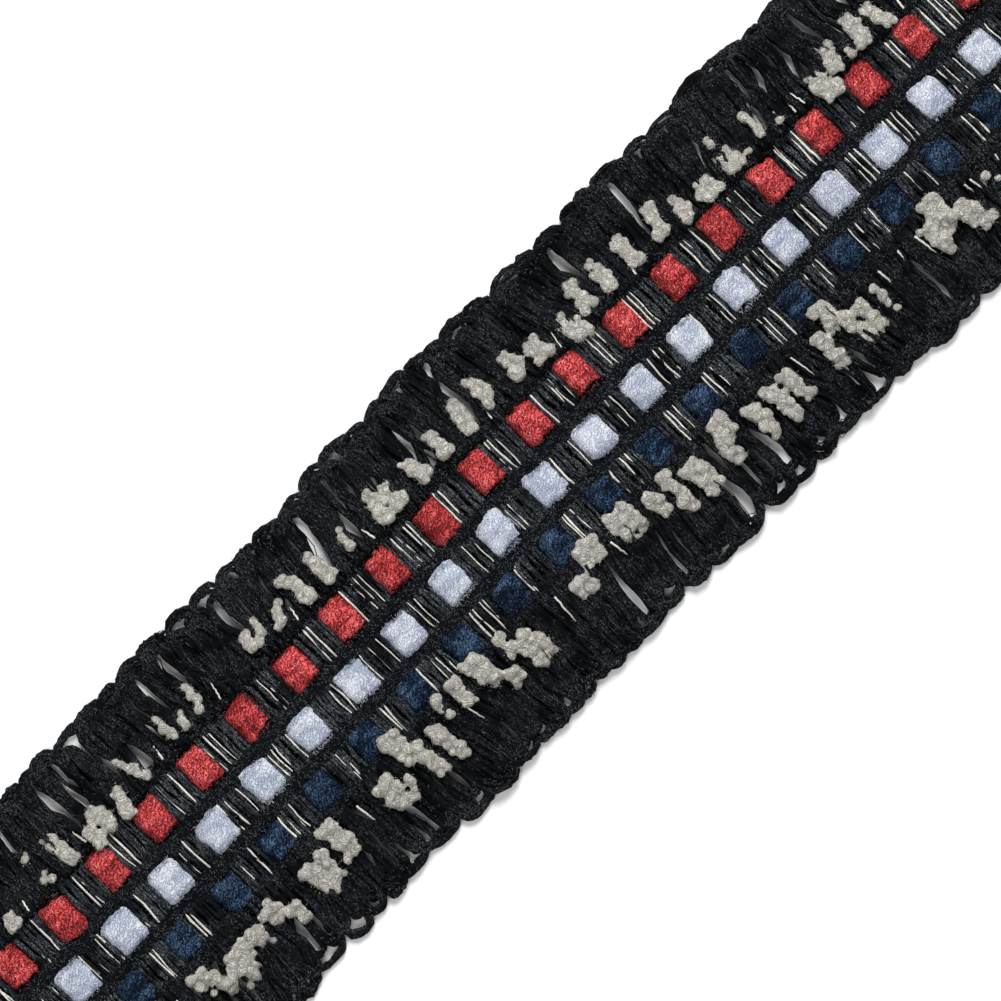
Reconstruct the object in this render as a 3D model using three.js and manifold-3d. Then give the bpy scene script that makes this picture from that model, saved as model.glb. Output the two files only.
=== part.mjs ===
// Woven band trim: a cut length of hand-loomed style braid, lying flat on its back.
// Three flat ribbons run the length of the band. Bundles of yarn cross them in a plain weave,
// bound between black warp stripes, and turn back as loops in a fringe along both edges.
// Cream slubs of the same yarn lie on the roots of the fringe.
//
// Millimetres. +X runs along the band, +Y to its red side, +Z up from the surface it lies on.

import * as THREE from 'three';
import { mergeVertices } from 'three/addons/utils/BufferGeometryUtils.js';
import Module from 'manifold-3d';

const wasm = await Module();
wasm.setup();

// Driving sizes
const PICKS = 44;              // yarn bundles in this cut length
const PICK = 3.575;            // from one bundle to the next
const LENGTH = PICKS * PICK;
const BOW = 1.26;              // how far the middle stands off a line through the two ends
const RED_SHARE = 0.37;        // share of the bow on the red side, which centres the band
const GAP = 0.3;               // between neighbouring pieces
const REACH = 19;              // from the middle of the band to the tips of its fringe
const BODY_HEIGHT = 2.1;       // woven cloth, without its fringe
const RIBBON_HEIGHT = 0.7;
const BED_STEPS = 12;          // lengths in which stripes and edge strips follow the bow

// The ribbons, from the red edge of the cloth to its navy edge.
// outer and inner are the lines where a ribbon meets its black stripes,
// and onTop says whether it shows on the even picks or on the odd ones.
const RIBBONS = [
  { name: 'ribbon_red', outer: 8.1, inner: 3.6, onTop: 0, colour: 0xc43038, roughness: 0.5 },
  { name: 'ribbon_white', outer: 1.9, inner: -1.9, onTop: 1, colour: 0xccd0e0, roughness: 0.85 },
  { name: 'ribbon_navy', outer: -3.5, inner: -7.35, onTop: 0, colour: 0x1c355c, roughness: 0.6 },
];

// The two fringed edges: which way they face and where the woven cloth ends.
const EDGES = [
  { name: 'red_side', side: 1, edge: 9.66 },
  { name: 'navy_side', side: -1, edge: 8.8 },
];

const cotton = (colour, roughness = 0.9) =>
  new THREE.MeshStandardMaterial({ color: colour, roughness, metalness: 0 });
const black = cotton(0x14171a);
const cream = cotton(0xc6c2b4);

// The same small irregularity for the same number, between 0 and 1.
const unevenness = (number) => {
  const wave = Math.sin(number * 12.9898 + 4.137) * 43758.5453;
  return wave - Math.floor(wave);
};

// The band isn't quite straight: every piece follows this soft curve.
const bowAt = (x) => BOW * (RED_SHARE - (2 * x / LENGTH) ** 2);

function bend(geometry) {
  const place = geometry.getAttribute('position');
  for (let i = 0; i < place.count; i += 1) {
    place.setY(i, place.getY(i) + bowAt(place.getX(i)));
  }
  return geometry;
}

// Shared corners as one vertex each, and no triangle with two corners alike.
function weld(geometry) {
  geometry.deleteAttribute('normal');
  geometry.deleteAttribute('uv');
  const welded = mergeVertices(geometry, 1e-4);
  const corners = welded.getIndex().array;
  const kept = [];
  for (let i = 0; i < corners.length; i += 3) {
    const [a, b, c] = corners.slice(i, i + 3);
    if (a !== b && b !== c && c !== a) kept.push(a, b, c);
  }
  welded.setIndex(kept);
  return welded;
}

function solid(geometry) {
  const welded = weld(geometry);
  return new wasm.Manifold(new wasm.Mesh({
    numProp: 3,
    vertProperties: new Float32Array(welded.getAttribute('position').array),
    triVerts: new Uint32Array(welded.getIndex().array),
  }));
}

function join(geometries) {
  const joined = geometries.map(solid).reduce((whole, next) => whole.add(next)).getMesh();
  const geometry = new THREE.BufferGeometry();
  geometry.setAttribute('position', new THREE.BufferAttribute(joined.vertProperties, 3));
  geometry.setIndex(new THREE.BufferAttribute(joined.triVerts, 1));
  return geometry;
}

function piece(name, geometry, material) {
  geometry.computeVertexNormals();
  const mesh = new THREE.Mesh(geometry, material);
  mesh.name = name;
  return mesh;
}

// An outline in x and z, extruded across the band from one y down to a lower one.
function across(outline, from, to) {
  const shape = new THREE.Shape(outline.map(([x, z]) => new THREE.Vector2(x, z)));
  const geometry = new THREE.ExtrudeGeometry(shape, { depth: from - to, bevelEnabled: false });
  return geometry.rotateX(Math.PI / 2).translate(0, from, 0);
}

// A section in y and z, run along the whole band in steps that follow its bow.
function along(section) {
  const shape = new THREE.Shape(section.map(([y, z]) => new THREE.Vector2(y, z)));
  const run = { depth: LENGTH, steps: BED_STEPS, bevelEnabled: false };
  const turn = new THREE.Matrix4().makeBasis(
    new THREE.Vector3(0, 1, 0),
    new THREE.Vector3(0, 0, 1),
    new THREE.Vector3(1, 0, 0),
  );
  const geometry = new THREE.ExtrudeGeometry(shape, run).applyMatrix4(turn);
  return bend(geometry.translate(-LENGTH / 2, 0, 0));
}

const pickAt = (pick) => (pick - (PICKS - 1) / 2) * PICK;

// A ribbon rises over one bundle and dips under the next.
function ribbon({ name, outer, inner, onTop, colour, roughness }) {
  const level = 1.15;          // half of the length that lies level on a bundle
  const upper = [];
  for (let pick = 0; pick < PICKS; pick += 1) {
    const top = pick % 2 === onTop ? BODY_HEIGHT : RIBBON_HEIGHT;
    const start = pick === 0 ? -PICK / 2 : -level;
    const end = pick === PICKS - 1 ? PICK / 2 : level;
    upper.push([pickAt(pick) + start, top], [pickAt(pick) + end, top]);
  }
  const lower = upper.map(([x, z]) => [x, z - RIBBON_HEIGHT]).reverse();
  const strip = across([...upper, ...lower], outer - GAP / 2, inner + GAP / 2);
  return piece(name, weld(bend(strip)), cotton(colour, roughness));
}

// The black stripes stand between the ribbons. Their backs are soft ridges,
// and the two outer ones slope down to the edges of the cloth.
function stripes() {
  const crown = 0.25;
  const edgeHeight = 1.4;
  const [red, white, navy] = RIBBONS;
  const between = (high, low) => {
    const from = high.inner - GAP / 2;
    const to = low.outer + GAP / 2;
    return [[to, 0], [from, 0], [from, BODY_HEIGHT],
      [(from + to) / 2, BODY_HEIGHT + crown], [to, BODY_HEIGHT]];
  };
  const outermost = (wall, edge) => [[wall, 0], [edge, 0], [edge, edgeHeight],
    [wall + (edge - wall) / 3, BODY_HEIGHT + crown / 2], [wall, BODY_HEIGHT]];
  const [redEdge, navyEdge] = EDGES;
  return [
    outermost(red.outer + GAP / 2, redEdge.side * redEdge.edge),
    between(red, white),
    between(white, navy),
    outermost(navy.inner - GAP / 2, navyEdge.side * navyEdge.edge),
  ].map(along);
}

// One bundle where it crosses over a ribbon: two groups of yarn side by side,
// drawn together underneath. Where it passes under a ribbon it is flat on the back.
function bundle(pick, { outer, inner, onTop }) {
  const rooted = 0.4;          // how far its ends reach into the stripes
  const half = 1.6;            // half of its width where it is widest
  const waist = 1;             // and where it is drawn together
  const group = 0.95;          // from its middle to the crest of a group
  const flat = 1.3;            // half of the width that lies flat on the back
  const middle = BODY_HEIGHT / 2;
  const swell = 0.6;           // from its middle up or down to where it is widest
  const crest = BODY_HEIGHT - 0.05;
  const valley = BODY_HEIGHT - 0.25;
  const over = [[-waist, middle], [waist, middle], [half, middle + swell], [group, crest],
    [0, valley], [-group, crest], [-half, middle + swell]];
  const under = [[-flat, 0], [flat, 0], [half, middle - swell], [waist, middle],
    [-waist, middle], [-half, middle - swell]];
  const outline = pick % 2 === onTop ? under : over;
  const reach = rooted + GAP / 2;
  const bar = across(outline, outer + reach, inner - reach);
  return bend(bar.translate(pickAt(pick), 0, 0));
}

function wovenGround() {
  const bundles = [];
  for (let pick = 0; pick < PICKS; pick += 1) {
    for (const row of RIBBONS) bundles.push(bundle(pick, row));
  }
  return piece('woven_ground', join([...stripes(), ...bundles]), black);
}

// A curve whose steps fall on its own points, close together where the yarn turns back.
class Yarn extends THREE.CatmullRomCurve3 {
  getPointAt(t, target) {
    return this.getPoint(t, target);
  }

  getTangentAt(t, target) {
    return this.getTangent(t, target);
  }
}

// One lock of the fringe: yarn laid flat in a long loop, level on the surface.
// Its section is a low triangle on its base.
function lock(from, to, root, tip, lean) {
  const yarn = 1.35;           // width of the looped yarn on the surface
  const height = 1.2;
  const apart = 1.5 * GAP;     // between this lock and the next
  const middle = (from + to) / 2;
  const spread = (to - from - apart - yarn) / 2;
  const run = tip - root;
  const half = [
    { across: 0.75, out: 0 },
    { across: 0.95, out: 0.42 },
    { across: 1, out: 0.82 },
    { across: 0.45, out: 1 },
  ];
  const leg = (way) => half.map((at) => new THREE.Vector3(
    middle + way * at.across * spread + lean * at.out,
    root + at.out * (run - yarn / 2),
    0,
  ));
  const points = [...leg(-1), ...leg(1).reverse()];
  const section = new THREE.Shape([
    new THREE.Vector2(0, -yarn / 2),
    new THREE.Vector2(0, yarn / 2),
    new THREE.Vector2(-height, 0),
  ]);
  return new THREE.ExtrudeGeometry(section, {
    steps: points.length - 1,
    extrudePath: new Yarn(points),
    bevelEnabled: false,
  });
}

// Turned to the side of the band that it belongs to, and bent with it.
function facing(side, geometry) {
  if (side < 0) geometry.rotateZ(Math.PI);
  return bend(geometry);
}

const stripSection = (side, from, to, low, high) =>
  (side > 0
    ? [[from, low], [to, low], [to, high], [from, high]]
    : [[-to, low], [-from, low], [-from, high], [-to, high]]);

const STRIP = 0.85;            // width of the strips that hold the fringe and the slubs
const FRINGE_STRIP = 1.5;      // and the height of the first one

function fringe({ name, side, edge }) {
  const rooted = 0.35;         // how far a lock starts inside the strip
  const narrowest = 0.84;      // share of a pick that the narrowest lock takes
  const varied = 0.34;         // and by how much a wide one takes more
  const shortest = 0.9;        // how far the shortest lock stays behind the reach
  const sway = 0.8;            // how far a tip leans along the band
  const swayRun = 8;           // and over what length that changes
  const ownWidths = 50 * side;
  const ownTips = 7.5 + ownWidths;
  const root = edge + GAP;
  const strip = along(stripSection(side, root, root + STRIP, 0, FRINGE_STRIP));
  const locks = [];
  let from = -LENGTH / 2 + GAP;
  let number = 0;
  while (from < LENGTH / 2 - PICK) {
    const wide = PICK * (narrowest + varied * unevenness(number + ownWidths));
    const to = Math.min(from + wide, LENGTH / 2 - GAP);
    const tip = REACH - shortest * unevenness(number + ownTips);
    const lean = sway * Math.sin(from / swayRun + side);
    const inside = LENGTH / 2 - Math.max(Math.abs(from), Math.abs(to));
    const held = Math.min(1, inside / swayRun);
    locks.push(facing(side, lock(from, to, root + STRIP - rooted, tip, lean * held)));
    from = to;
    number += 1;
  }
  return piece(`fringe_${name}`, join([strip, ...locks]), black);
}

// Where the cream slubs lie. at is the place along the band, from and to are distances from
// the middle of the band, wide is across the slub, and lean is how far its tip lies along.
const SLUBS = {
  red_side: [
    { at: -66.3, from: 9.0, to: 11.0, wide: 2.0, lean: 0.3 },
    { at: -57.4, from: 9.0, to: 13.5, wide: 1.6, lean: -0.9 },
    { at: -53.8, from: 9.0, to: 11.4, wide: 2.0, lean: 0.6 },
    { at: -49.5, from: 9.0, to: 11.5, wide: 2.2, lean: 0.3 },
    { at: -46.3, from: 9.3, to: 13.5, wide: 1.5, lean: -1.4 },
    { at: -40.7, from: 9.4, to: 13.7, wide: 1.4, lean: -0.5 },
    { at: -28.1, from: 9.6, to: 12.7, wide: 1.8, lean: -0.3 },
    { at: -20.7, from: 9.2, to: 13.7, wide: 1.9, lean: -0.8 },
    { at: -17.4, from: 9.2, to: 13.8, wide: 1.6, lean: -0.3 },
    { at: -8.7, from: 9.1, to: 13.5, wide: 1.8, lean: 0.3 },
    { at: -6.6, from: 9.1, to: 13.0, wide: 1.7, lean: -0.4 },
    { at: -3.1, from: 9.2, to: 13.3, wide: 2.1, lean: -0.7 },
    { at: 0.6, from: 9.4, to: 13.4, wide: 1.9, lean: 0.2 },
    { at: 4.3, from: 9.2, to: 13.7, wide: 1.7, lean: 0.5 },
    { at: 7.6, from: 9.5, to: 14.3, wide: 1.5, lean: -0.5 },
    { at: 12.0, from: 9.4, to: 13.8, wide: 1.8, lean: 0.4 },
    { at: 15.0, from: 9.2, to: 12.6, wide: 2.3, lean: 0.3 },
    { at: 19.2, from: 9.0, to: 11.8, wide: 2.4, lean: -0.5 },
    { at: 21.9, from: 9.3, to: 13.8, wide: 1.7, lean: 0.3 },
    { at: 25.1, from: 9.2, to: 13.8, wide: 2.1, lean: -0.4 },
    { at: 33.3, from: 9.3, to: 13.7, wide: 1.8, lean: 0.6 },
    { at: 36.2, from: 9.0, to: 12.5, wide: 2.1, lean: -0.3 },
    { at: 39.4, from: 9.0, to: 11.7, wide: 2.2, lean: 0.2 },
    { at: 43.2, from: 9.1, to: 13.3, wide: 2.0, lean: -0.3 },
    { at: 55.6, from: 8.9, to: 11.3, wide: 2.6, lean: -0.6 },
    { at: 58.3, from: 9.0, to: 12.5, wide: 1.8, lean: 0.5 },
    { at: 62.2, from: 9.0, to: 13.4, wide: 1.9, lean: 0.2 },
    { at: 64.9, from: 9.0, to: 12.5, wide: 1.9, lean: -0.8 },
  ],
  navy_side: [
    { at: -70.2, from: 8.4, to: 12.6, wide: 1.9, lean: 0.4 },
    { at: -56.8, from: 8.3, to: 11.6, wide: 2.2, lean: 0.9 },
    { at: -53.3, from: 8.8, to: 13.9, wide: 1.7, lean: 0.1 },
    { at: -49.1, from: 8.4, to: 12.1, wide: 1.9, lean: 0.4 },
    { at: -46.0, from: 8.3, to: 13.5, wide: 2.1, lean: 1.2 },
    { at: -41.0, from: 8.5, to: 13.5, wide: 2.1, lean: 0.4 },
    { at: -36.0, from: 8.3, to: 12.1, wide: 2.4, lean: 0.4 },
    { at: -29.0, from: 8.4, to: 12.7, wide: 2.1, lean: 0.3 },
    { at: -23.6, from: 8.3, to: 13.1, wide: 2.1, lean: 0.6 },
    { at: -16.5, from: 8.3, to: 12.6, wide: 1.7, lean: -0.4 },
    { at: -12.9, from: 8.3, to: 11.2, wide: 2.3, lean: 0.8 },
    { at: -9.6, from: 8.3, to: 12.8, wide: 2.2, lean: 0.4 },
    { at: -6.9, from: 8.6, to: 13.0, wide: 1.9, lean: 0.6 },
    { at: 0.6, from: 8.5, to: 11.3, wide: 2.3, lean: 0.3 },
    { at: 4.0, from: 8.2, to: 10.6, wide: 2.2, lean: -0.3 },
    { at: 8.0, from: 8.2, to: 10.9, wide: 2.6, lean: 0.7 },
    { at: 11.8, from: 8.3, to: 11.3, wide: 2.0, lean: 0.5 },
    { at: 14.6, from: 8.3, to: 13.0, wide: 2.0, lean: 0.2 },
    { at: 17.5, from: 8.5, to: 13.4, wide: 2.1, lean: 0.5 },
    { at: 21.8, from: 8.3, to: 12.9, wide: 2.1, lean: -0.3 },
    { at: 25.9, from: 8.6, to: 13.6, wide: 1.9, lean: 0.4 },
    { at: 28.8, from: 8.6, to: 13.9, wide: 1.6, lean: 0.2 },
    { at: 36.0, from: 8.5, to: 13.5, wide: 2.1, lean: 0.3 },
    { at: 39.4, from: 8.3, to: 13.6, wide: 2.2, lean: 0.4 },
    { at: 52.3, from: 8.5, to: 13.1, wide: 1.5, lean: 0.9 },
    { at: 54.6, from: 8.2, to: 11.5, wide: 1.9, lean: -0.3 },
    { at: 56.9, from: 8.6, to: 13.8, wide: 2.1, lean: 1.6 },
    { at: 66.4, from: 8.4, to: 12.8, wide: 2.0, lean: 0.4 },
  ],
};

// One slub: a thick soft stretch of cream yarn in a few round lumps.
// It lies over the strip and the locks, its tip a little lower than its root.
function slub({ at, from, to, wide, lean }, side, edge) {
  const rootHeight = 2.85;
  const drop = 0.55;
  const inward = 0.35;         // how far it may lie in over the edge of the cloth
  const lumpRun = 2;
  const thinLump = 1.1;        // thickness of the thinnest lump, as a share of the width
  const varied = 0.2;          // and by how much a thick one is thicker
  const neck = 0.7;            // thickness between two lumps, as a share of the lump's
  const tallest = 1.5;
  const start = Math.max(from, edge - inward);
  const run = to - start;
  const lumps = Math.max(1, Math.round(run / lumpRun));
  const profile = [new THREE.Vector2(0, 0)];
  for (let lump = 0; lump < lumps; lump += 1) {
    const full = (wide / 2) * (thinLump + varied * unevenness(at + lump));
    profile.push(new THREE.Vector2(full, run * (lump + 0.5) / lumps));
    if (lump < lumps - 1) {
      profile.push(new THREE.Vector2(full * neck, run * (lump + 1) / lumps));
    }
  }
  profile.push(new THREE.Vector2(0, run));
  const geometry = new THREE.LatheGeometry(profile, 4);
  geometry.rotateY(Math.PI / 4).scale(1, 1, Math.min(1, tallest / wide));
  geometry.rotateX(-Math.asin(drop / run)).rotateZ(-Math.atan(side * lean / run));
  geometry.translate(side * at, start, rootHeight);
  return facing(side, geometry);
}

function slubs({ name, side, edge }) {
  const thickness = 0.6;
  const low = FRINGE_STRIP + GAP;
  const root = edge + GAP;
  const strip = along(stripSection(side, root, root + STRIP, low, low + thickness));
  const lumps = SLUBS[name].map((row) => slub(row, side, edge));
  return piece(`slubs_${name}`, join([strip, ...lumps]), cream);
}

const trim = new THREE.Group();
trim.add(wovenGround());
for (const row of RIBBONS) trim.add(ribbon(row));
for (const edge of EDGES) trim.add(fringe(edge), slubs(edge));

export default trim;
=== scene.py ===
"""Blender scene of a woven band trim: three ribbons in a black plain weave with looped fringes.

Sizes are in metres, in the same frame as the solids: X along the band, Y towards its red side, Z up.
"""

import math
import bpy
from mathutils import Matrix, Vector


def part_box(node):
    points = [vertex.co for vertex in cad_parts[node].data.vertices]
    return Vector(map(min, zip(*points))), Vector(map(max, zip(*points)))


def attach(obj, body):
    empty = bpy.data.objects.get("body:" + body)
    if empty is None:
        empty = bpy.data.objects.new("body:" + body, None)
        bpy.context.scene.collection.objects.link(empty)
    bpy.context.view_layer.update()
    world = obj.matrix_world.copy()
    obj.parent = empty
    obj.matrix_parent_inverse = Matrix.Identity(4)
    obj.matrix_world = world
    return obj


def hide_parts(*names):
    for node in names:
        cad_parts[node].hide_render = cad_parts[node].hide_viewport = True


bl_info = {
    "name": "Woven Band Trim",
    "version": (1, 0, 0),
    "blender": (4, 5, 0),
    "location": "View3D > Sidebar > Trim",
    "description": "Builds a fringed woven band with ribbons, yarn loops and slubs",
    "category": "Add Mesh",
}

import bpy
import numpy as np

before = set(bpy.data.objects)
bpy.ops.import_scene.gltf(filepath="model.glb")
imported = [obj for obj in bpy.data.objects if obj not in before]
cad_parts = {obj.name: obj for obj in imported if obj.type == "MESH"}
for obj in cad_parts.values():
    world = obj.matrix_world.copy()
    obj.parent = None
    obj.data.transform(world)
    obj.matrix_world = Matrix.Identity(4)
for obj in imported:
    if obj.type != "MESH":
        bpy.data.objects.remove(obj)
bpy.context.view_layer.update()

MM = 0.001

# The bundles along the band, how far its ends bow back from its middle and the share of that bow
# that lies on the red side, and the gap between two solids.
PICKS = 44
BOW = 1.26 * MM
RED_SHARE = 0.37
GAP = 0.3 * MM

# From the frame: the band's cut length, the ribbons' top and middle height, how high the bundles lie
# on the face, and the edges of the woven cloth where the band doesn't bow.
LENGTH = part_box("ribbon_red")[1][0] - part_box("ribbon_red")[0][0]
BODY_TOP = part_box("ribbon_red")[1][2]
MIDDLE = BODY_TOP / 2
YARN_TOP = BODY_TOP - 0.38 * MM
EDGE_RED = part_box("woven_ground")[1][1] - BOW * RED_SHARE
EDGE_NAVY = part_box("woven_ground")[0][1] + BOW * (1 - RED_SHARE)

# How far the tips of the fringe lie from the middle line, on the red and on the navy side.
REACH_RED = 19.05 * MM
REACH_NAVY = 18.82 * MM

# How many yarns a bundle has and how far apart they lie, and the points of a strand of the fringe.
BUNDLE_YARNS = 13
YARN_SPACING = 0.26 * MM
STRAND_POINTS = 29

# How many loose filaments and hairs lie on the ground and on each side's fringe and slubs.
GROUND_HAIRS = 11500
FRINGE_FILAMENTS = 800
FRINGE_HAIRS = 6000
SLUB_HAIRS = 3000


def row_edges(node):
    """The lines across the band where a ribbon meets its stripes, outer one first."""
    low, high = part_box(node)
    return high[1] - BOW * RED_SHARE + GAP / 2, low[1] + BOW * (1 - RED_SHARE) - GAP / 2


# The ribbons: on_top is the first pick that each shows on and loft is how much softer it swells.
# In millimetres, shift is how far it has slid in its place across the band, and the others are how
# far the stripes beside it spread: over its squares, the one on the red side first, and over the
# bundles in the gaps between them.
ROWS = [
    {"name": "ribbon_red", "on_top": 0, "loft": 0.0, "shift": -0.05, "over": (-0.36, -0.31), "gaps": 0.9},
    {"name": "ribbon_white", "on_top": 1, "loft": 0.24, "shift": 0.14, "over": (0.06, 0.36), "gaps": 0.85},
    {"name": "ribbon_navy", "on_top": 0, "loft": 0.0, "shift": 0.26, "over": (0.26, 1.02), "gaps": 1.18},
]
for row in ROWS:
    row["edges"] = row_edges(row["name"])
    row["slot"] = row["name"].removeprefix("ribbon_") + "_ribbon"


def bow_at(x):
    """How far the band stands off a straight line at this place along it."""
    return BOW * (RED_SHARE - (2 * x / LENGTH) ** 2)


def pick_at(pick):
    return (pick - (PICKS - 1) / 2) * LENGTH / PICKS


# Settings that a user would change


def length(name, description, value):
    return bpy.props.FloatProperty(name=name, description=description, default=value, unit="LENGTH")


class TrimSizes(bpy.types.PropertyGroup):
    """Sizes of the yarns and of their nap."""

    yarn: length("Black yarn", "Thickness of a black yarn", 0.36 * MM)
    strand: length("Strand", "Thickness of a strand of the fringe", 0.70 * MM)
    cream: length("Cream yarn", "Thickness of a cream yarn", 0.24 * MM)
    filament: length("Filament", "Thickness of a loose filament", 0.14 * MM)
    ribbon: length("Ribbon", "Thickness of a ribbon", 0.6 * MM)
    nap: length("Nap", "Length of the hairs on the cloth", 0.75 * MM)
    loops: bpy.props.IntProperty(
        name="Loops", description="Strands in each lock of the fringe", default=3, min=2
    )
    seed: bpy.props.IntProperty(name="Seed", description="Chooses the unevenness", default=7, min=0)


def colour(name, value):
    text = f"Colour of the {name.lower()}"
    return bpy.props.FloatVectorProperty(
        name=name, description=text, default=value, subtype="COLOR", size=3, min=0, max=1
    )


class TrimColours(bpy.types.PropertyGroup):
    """Colours of the yarns and ribbons."""

    black: colour("Black yarn", (0.0022, 0.0029, 0.0038))
    # The nap colour is a painted highlight: the grey that glinting black fibres and hairs are painted in.
    nap: colour("Black nap", (0.085, 0.096, 0.105))
    cream: colour("Cream yarn", (0.60, 0.585, 0.53))
    slub: colour("Slub", (0.53, 0.515, 0.46))
    red: colour("Red ribbon", (0.33, 0.018, 0.021))
    white: colour("White ribbon", (0.515, 0.56, 0.665))
    navy: colour("Navy ribbon", (0.004, 0.013, 0.033))
    floor: colour("Floor", (0.93, 0.93, 0.93))


# Shader nodes


class Value:
    """A number that changes over a surface, which sums can be written with."""

    def __init__(self, finish, socket):
        self.finish = finish
        self.socket = socket

    def with_other(self, operation, first, second=None):
        node = self.finish.tree.nodes.new("ShaderNodeMath")
        node.operation = operation
        for place, item in enumerate((first, second)):
            if isinstance(item, Value):
                self.finish.tree.links.new(item.socket, node.inputs[place])
            elif item is not None:
                node.inputs[place].default_value = item
        return Value(self.finish, node.outputs[0])

    def __add__(self, other):
        return self.with_other("ADD", self, other)

    def __radd__(self, other):
        return self.with_other("ADD", other, self)

    def __sub__(self, other):
        return self.with_other("SUBTRACT", self, other)

    def __rsub__(self, other):
        return self.with_other("SUBTRACT", other, self)

    def __mul__(self, other):
        return self.with_other("MULTIPLY", self, other)

    def __rmul__(self, other):
        return self.with_other("MULTIPLY", other, self)

    def sine(self):
        return self.with_other("SINE", self)


class Finish:
    """A material and the nodes that it is made of."""

    def __init__(self, name):
        self.material = bpy.data.materials.new(name)
        self.material.use_nodes = True
        self.tree = self.material.node_tree
        self.tree.nodes.clear()

    def node(self, kind, settings=None, sockets=None, out=0):
        """Any node but Math: its settings come first, then values or links of its sockets."""
        node = self.tree.nodes.new(kind)
        for key, value in (settings or {}).items():
            setattr(node, key, value)
        for key, value in (sockets or {}).items():
            if isinstance(value, Value):
                self.tree.links.new(value.socket, node.inputs[key])
            else:
                node.inputs[key].default_value = value
        return Value(self, node.outputs[out]) if node.outputs else None

    def place(self, scale=(1, 1, 1)):
        """Object coordinates, stretched."""
        spot = self.node("ShaderNodeTexCoord", out="Object")
        return self.node("ShaderNodeMapping", None, {"Vector": spot, "Scale": scale})

    def noise(self, size, detail=2.0, stretch=(1, 1, 1), rough=0.5, bend=0.0):
        """Soft unevenness whose lumps are about this size, in metres."""
        sockets = {
            "Vector": self.place(stretch),
            "Scale": 0.6 / size,
            "Detail": detail,
            "Roughness": rough,
            "Distortion": bend,
        }
        return self.node("ShaderNodeTexNoise", {"noise_dimensions": "3D"}, sockets)

    def fibres(self, thick, long, turns, level):
        """Short fibres that lie these ways, in degrees from the band's length. level sets how few. The
        finishes raise them in relief and paint them lighter as highlights.
        """
        spot = self.node("ShaderNodeTexCoord", out="Object")
        total = None
        for turn in turns:
            rotation = (0, 0, math.radians(turn))
            sockets = {"Vector": spot, "Rotation": rotation, "Scale": (long / thick, 1, 1)}
            place = self.node("ShaderNodeMapping", {"vector_type": "TEXTURE"}, sockets)
            sockets = {"Vector": place, "Scale": 0.6 / thick, "Detail": 1.0, "Distortion": 0.4}
            noise = self.node("ShaderNodeTexNoise", {"noise_dimensions": "3D"}, sockets)
            lit = self.ramp(noise, level, level + 0.07)
            total = lit if total is None else total + lit * (1 - total)
        return total

    def lumps(self, size, feature):
        """Uneven lumps of this size, in metres, as the distance to their middles or to their edges."""
        sockets = {"Vector": self.place(), "Scale": 1 / size}
        bend = self.node("ShaderNodeTexNoise", None, sockets, out="Color")
        sockets = {0: bend, 1: (0.9 * size,) * 3, 2: self.place()}
        spot = self.node("ShaderNodeVectorMath", {"operation": "MULTIPLY_ADD"}, sockets)
        return self.node("ShaderNodeTexVoronoi", {"feature": feature}, {"Vector": spot, "Scale": 1 / size})

    def waves(self, period, bend):
        """Threads this far apart, in metres, that wander by bend radians."""
        sockets = {
            "Vector": self.place((1, -1, 1)),
            "Scale": math.pi / (10 * period * math.sqrt(2)),
            "Distortion": bend,
            "Detail": 2.0,
            "Detail Scale": 1.3,
            "Detail Roughness": 0.6,
        }
        return self.node("ShaderNodeTexWave", {"bands_direction": "DIAGONAL"}, sockets, out="Fac")

    def ramp(self, value, low, high):
        """0 below low, 1 above high, and a straight rise between them."""
        sockets = {"Value": value, "From Min": low, "From Max": high}
        return self.node("ShaderNodeMapRange", {"clamp": True}, sockets)

    def mix(self, share, first, second):
        """From one colour to another."""
        settings = {"data_type": "RGBA"}
        sockets = {0: share}
        for key, value in ((6, first), (7, second)):
            sockets[key] = value if isinstance(value, Value) else (*value, 1)
        return self.node("ShaderNodeMix", settings, sockets, out=2)

    def relief(self, height, depth, below=None):
        """A bump of this depth in metres."""
        sockets = {"Height": height, "Distance": depth, "Strength": 1.0}
        if below:
            sockets["Normal"] = below
        return self.node("ShaderNodeBump", None, sockets)

    def shade(self, base, normal, **steady):
        """The surface: its colour, its relief and the values that are the same all over it."""
        sockets = {"Base Color": base if isinstance(base, Value) else (*base, 1), "Normal": normal}
        sockets.update({key.replace("_", " "): value for key, value in steady.items()})
        surface = self.node("ShaderNodeBsdfPrincipled", None, sockets)
        self.node("ShaderNodeOutputMaterial", None, {"Surface": surface})
        return self.material


def settings_of(scene, step):
    """The sizes, the colours and a piece's own chance numbers."""
    sizes = scene.trim_sizes
    return sizes, scene.trim_colours, np.random.default_rng(sizes.seed + step)


def scaled(colour_value, factor):
    return tuple(min(1.0, channel * factor) for channel in colour_value)


def yarn_finish(name, base, light, level):
    """Loose yarn of many fibres, most of them along it; those that catch the light are painted in the
    lighter colour, in patches, as highlights.
    """
    finish = Finish(name)
    fibres = finish.fibres(0.055 * MM, 0.24 * MM, (35, 70, 100, 145), level)
    glint_patches = finish.noise(1.8 * MM, detail=2.0)
    fuzz = finish.noise(0.12 * MM, detail=3.0, rough=0.6)
    # Painted highlight: fibres in patches take the lighter colour, as if they caught the light.
    coloured = finish.mix(fibres * finish.ramp(glint_patches, 0.36, 0.58), base, light)
    normal = finish.relief(fuzz + fibres * 0.5, 0.10 * MM)
    return finish.shade(coloured, normal, Roughness=0.75, Specular_IOR_Level=0.05)


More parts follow.
